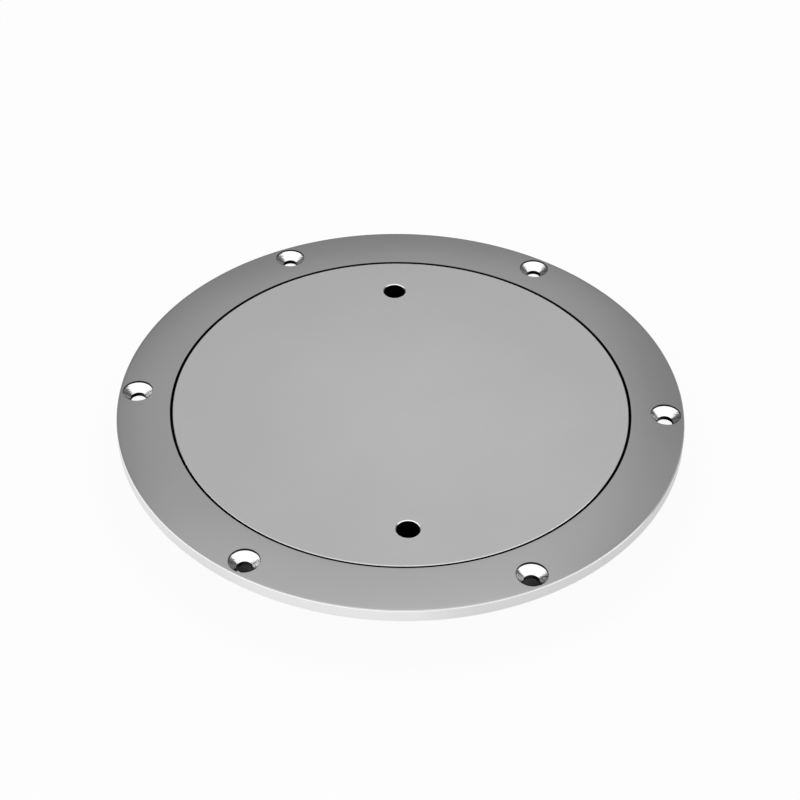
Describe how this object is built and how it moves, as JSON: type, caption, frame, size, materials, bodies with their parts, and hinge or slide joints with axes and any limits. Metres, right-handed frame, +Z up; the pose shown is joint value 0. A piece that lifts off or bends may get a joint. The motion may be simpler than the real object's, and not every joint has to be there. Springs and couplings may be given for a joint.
{
  "type": "deck inspection plate",
  "caption": "Round flush deck inspection plate: a countersunk steel flange with a collar below, and a screw-in cover turned by blind key holes, seated on a rubber seal.",
  "frame": {"origin": "on the plate's axis, in the plane of the flange's underside, which is the deck plane", "axes": "+Z up along the axis of the plate, out of the deck; +X through the first screw hole"},
  "size_m": [0.2, 0.2, 0.022],
  "materials": {
    "ring_steel": "turned and polished stainless steel, mirror-like in the countersinks",
    "cover_steel": "even satin stainless steel",
    "seal_rubber": "matt black rubber"
  },
  "bodies": {
    "ring": {"deck_ring": "ring_steel"},
    "seal": {"seal_ring": "seal_rubber"},
    "cover": {"cover": "cover_steel"}
  },
  "joints": [
    {"name": "cover_lift", "type": "slide", "parent": "ring", "child": "seal", "axis": [0, 0, 1], "range_m": [0, 0.011]},
    {"name": "cover_turn", "type": "hinge", "parent": "seal", "child": "cover", "pos_m": [0, 0, 0], "axis": [0, 0, 1], "range_deg": [0, 990]}
  ],
  "couplings": [
    {"joint": "cover_lift", "follows": "cover_turn", "m_per_rad": 0.00063662}
  ]
}
